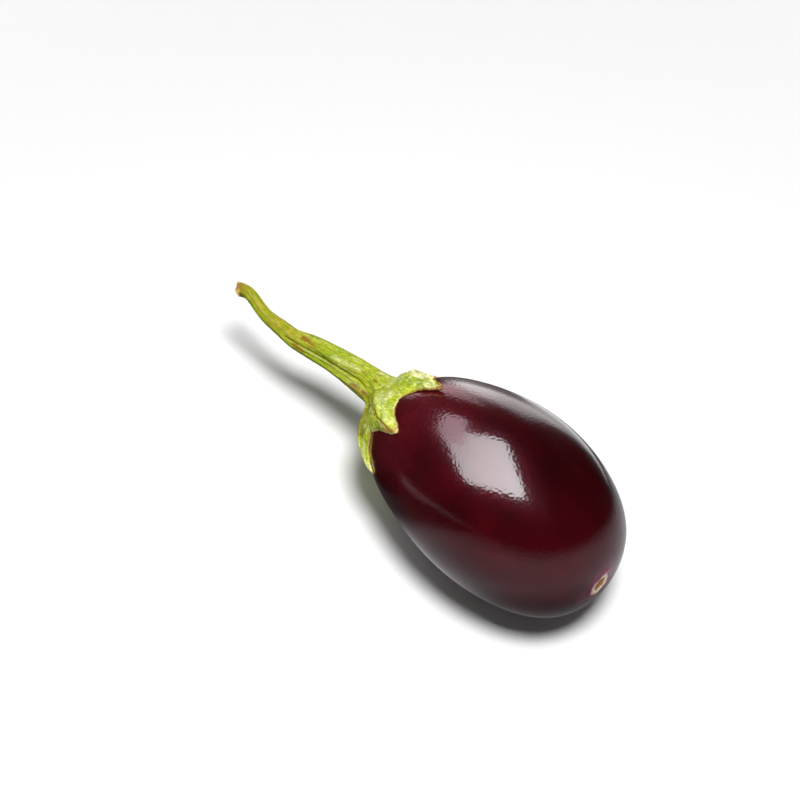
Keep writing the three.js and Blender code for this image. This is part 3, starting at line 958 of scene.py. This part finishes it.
def makeFloors():
    material, tree, shader = newMaterial("paleFloor")
    shader.inputs["Base Color"].default_value = studio["floorColour"]
    shader.inputs["Roughness"].default_value = 0.7
    place = addNode(tree, "ShaderNodeTexCoord").outputs["Object"]
    away = vectorMath(tree, "LENGTH", place)["Value"]
    shader.inputs["Emission Color"].default_value = (1, 1, 1, 1)
    tree.links.new(remap(tree, away, *studio["floorGlow"]), shader.inputs["Emission Strength"])
    floor = disc("floor", studio["floorRadius"], material)
    onlyIn(floor, camera=True)
    material, tree, shader = newMaterial("dullFloor")
    shader.inputs["Base Color"].default_value = studio["bounceColour"]
    bounce = disc("bounceFloor", studio["floorRadius"], material)
    bounce.location.z = -0.1 * mm
    onlyIn(bounce, diffuse=True)


def fromAxis(tree, place):
    # how far a place is from the core of the fruit's axis
    middle = (axisStart[0] + fruit["length"] / 2, axisStart[1], axisStart[2])
    offset = vectorMath(tree, "ABSOLUTE", vectorMath(tree, "SUBTRACT", place, middle)[0])[0]
    beyond = vectorMath(tree, "SUBTRACT", offset, sheenTable["halfCore"])[0]
    return vectorMath(tree, "LENGTH", vectorMath(tree, "MAXIMUM", beyond, (0, 0, 0))[0])["Value"]


def makeSheenTable():
    # it is tilted and touches the fruit from below
    tilt, towards = math.radians(sheenTable["tilt"]), math.radians(sheenTable["towards"])
    upright = Vector((0, math.sin(tilt), math.cos(tilt)))
    upright.rotate(Euler((0, 0, towards)))
    skin = skinPoints(phiTable[::20][:, None], np.radians(np.arange(0, 360, 4))[None, :])
    lowest = (skin @ np.array(upright)).min()
    material, tree, shader = newMaterial("sheenTable")
    tree.nodes.remove(shader)
    place = addNode(tree, "ShaderNodeNewGeometry").outputs["Position"]
    parts = addNode(tree, "ShaderNodeSeparateXYZ", {"Vector": place}).outputs
    x, y = parts["X"], parts["Y"]
    behind = slanted(tree, y, x, sheenTable["behindSlope"])
    distance = fromAxis(tree, place)
    fading = combine(tree, "MINIMUM", combine(tree, "DIVIDE", sheenTable["fadesBeyond"], distance), 1)
    lit = times(
        tree,
        remap(tree, behind, *sheenTable["behind"]),
        # painted contact shadow: less glow close to the fruit
        remap(tree, distance, *sheenTable["nearFruit"]),
        fading,
        remap(tree, x, *sheenTable["leftHalf"]),
        remap(tree, x, *sheenTable["rightEnd"]),
    )
    farLeft = times(
        tree,
        remap(tree, x, *sheenTable["farLeft"]),
        remap(tree, y, *sheenTable["farLeftBehind"]),
    )
    border = math.radians(sheenTable["farBehindBorder"])
    across = plus(tree, times(tree, x, math.sin(border)), times(tree, y, -math.cos(border)))
    farBehind = times(
        tree,
        remap(tree, behind, *sheenTable["farBehind"]),
        remap(tree, across, *sheenTable["farBehindFrom"]),
        remap(tree, x, *sheenTable["farBehindTo"]),
    )
    lit = plus(tree, plus(tree, lit, farLeft), farBehind)
    glow = addNode(tree, "ShaderNodeEmission", {"Color": sheenTable["colour"], "Strength": lit})
    tree.links.new(glow.outputs["Emission"], tree.nodes["Material Output"].inputs["Surface"])
    table = disc("sheenTable", studio["floorRadius"], material)
    table.rotation_euler = upright.to_track_quat("Z", "Y").to_euler()
    table.location = upright * (lowest - sheenTable["gap"])
    onlyIn(table, glossy=True)


def makeSoftboxes():
    for number, box in enumerate(studio["softboxes"]):
        angles = np.linspace(0, 2 * math.pi, 64, endpoint=False)
        turn = math.radians(box["turn"])
        wide, deep = (half * np.sign(wave) * abs(wave) ** studio["softboxCorner"]
                      for half, wave in zip(box["half"], (np.cos(angles), np.sin(angles))))
        x = wide * math.cos(turn) - deep * math.sin(turn)
        y = wide * math.sin(turn) + deep * math.cos(turn)
        mesh = bpy.data.meshes.new(f"softbox{number}")
        face = tuple(reversed(range(len(angles))))  # it faces down
        mesh.from_pydata(np.stack((x, y, x * 0), axis=-1).tolist(), [], [face])
        panel = bpy.data.objects.new(f"softbox{number}", mesh)
        panel.location = (*box["at"], studio["softboxHeight"])
        bpy.context.collection.objects.link(panel)
        glow = glowMaterial(f"softboxGlow{number}", box["strength"], box["climb"], box["colour"])
        mesh.materials.append(glow)
        onlyIn(panel, glossy=True)


def makeLamps():
    for number, lamp in enumerate(studio["lamps"]):
        data = bpy.data.lights.new(f"lamp{number}", "AREA")
        data.shape = "DISK"
        data.size = lamp["size"]
        data.energy = lamp["power"]
        light = bpy.data.objects.new(f"lamp{number}", data)
        light.location = lamp["at"]
        light.rotation_euler = Vector(lamp["at"]).to_track_quat("Z", "Y").to_euler()
        data.use_shadow = lamp["shadow"]
        light.visible_glossy = False
        bpy.context.collection.objects.link(light)


def makeFlags():
    # soft at their rims and seen only in the fruit's shine
    material, tree, shader = newMaterial("darkFlag")
    shader.inputs["Base Color"].default_value = (0.004, 0.001, 0.001, 1)
    shader.inputs["Roughness"].default_value = 1
    facing = addNode(tree, "ShaderNodeLayerWeight", {"Blend": 0.5}).outputs["Facing"]
    tree.links.new(remap(tree, facing, 0.4, 0.95, 1, 0), shader.inputs["Alpha"])
    for number, ball in enumerate(studio["flags"]):
        bpy.ops.mesh.primitive_uv_sphere_add(segments=48, ring_count=24, radius=ball["radius"],
                                             location=ball["at"])
        flag = bpy.context.object
        flag.name = f"flag{number}"
        flag.data.shade_smooth()
        flag.data.materials.append(material)
        onlyIn(flag, glossy=True)


def makeBackdrop():
    # a pale wall all round, which only the camera sees
    bpy.ops.mesh.primitive_cylinder_add(vertices=96, radius=studio["floorRadius"], depth=3,
                                        end_fill_type="NOTHING", location=(0, 0, 1.4))
    wall = bpy.context.object
    wall.name = "backdrop"
    wall.data.materials.append(glowMaterial("paleWall", 1.0))
    onlyIn(wall, camera=True)


def makeSky():
    # dark but for a white wall low behind the fruit and a pinkish one left of it
    world = bpy.data.worlds.new("studioSky")
    world.use_nodes = True
    tree = world.node_tree
    direction = addNode(tree, "ShaderNodeTexCoord").outputs["Generated"]
    parts = addNode(tree, "ShaderNodeSeparateXYZ", {"Vector": direction}).outputs
    height = parts["Z"]
    heading = times(tree, combine(tree, "ARCTAN2", parts["Y"], parts["X"]), 180 / math.pi)
    foot = combine(tree, "MAXIMUM", remap(tree, height, *sky["wallFoot"]),
                   remap(tree, heading, *sky["wallFootRight"]))
    wall = times(
        tree,
        remap(tree, slanted(tree, heading, height, sky["wallLean"]), *sky["wallRight"]),
        remap(tree, heading, *sky["wallLeft"]),
        remap(tree, slanted(tree, height, heading, sky["wallTopSlope"]), *sky["wallTop"]),
        foot,
        remap(tree, heading, *sky["wallStrength"]),
    )
    pink = times(
        tree,
        remap(tree, heading, *sky["pinkRight"]),
        remap(tree, heading, *sky["pinkLeft"]),
        remap(tree, height, *sky["pinkFoot"]),
        remap(tree, slanted(tree, height, heading, sky["pinkTopSlope"]), *sky["pinkTop"]),
    )
    strength = plus(tree, slanted(tree, wall, pink, sky["pinkStrength"]), sky["dark"])
    tree.links.new(strength, tree.nodes["Background"].inputs["Strength"])
    colour = mixColour(tree, pink, (1, 1, 1, 1), sky["pinkColour"])
    tree.links.new(colour, tree.nodes["Background"].inputs["Color"])
    bpy.context.scene.world = world


def makeCamera():
    view = {"azimuth": 47.3, "elevation": 50, "distance": 0.5494, "lens": 100,
            "frame": 800, "fruitPixel": (493.3, 495.3)}
    azimuth, elevation = math.radians(view["azimuth"]), math.radians(view["elevation"])
    back = Vector((math.sin(azimuth) * math.cos(elevation),
                   -math.cos(azimuth) * math.cos(elevation), math.sin(elevation)))
    right = Vector((math.cos(azimuth), math.sin(azimuth), 0))
    up = back.cross(right)
    data = bpy.data.cameras.new("camera")
    data.lens = view["lens"]
    metresPerPixel = view["distance"] * data.sensor_width / view["lens"] / view["frame"]
    acrossPixels, downPixels = (pixel - view["frame"] / 2 for pixel in view["fruitPixel"])
    aim = Vector(stemOrigin) - right * acrossPixels * metresPerPixel + up * downPixels * metresPerPixel
    camera = bpy.data.objects.new("camera", data)
    camera.location = aim + back * view["distance"]
    camera.rotation_euler = (-back).to_track_quat("-Z", "Y").to_euler()
    bpy.context.collection.objects.link(camera)
    bpy.context.scene.camera = camera


makeFloors()
makeSheenTable()
makeSoftboxes()
makeLamps()
makeFlags()
makeBackdrop()
makeSky()
makeCamera()
bpy.context.scene.view_settings.view_transform = "Standard"
print("studio made")
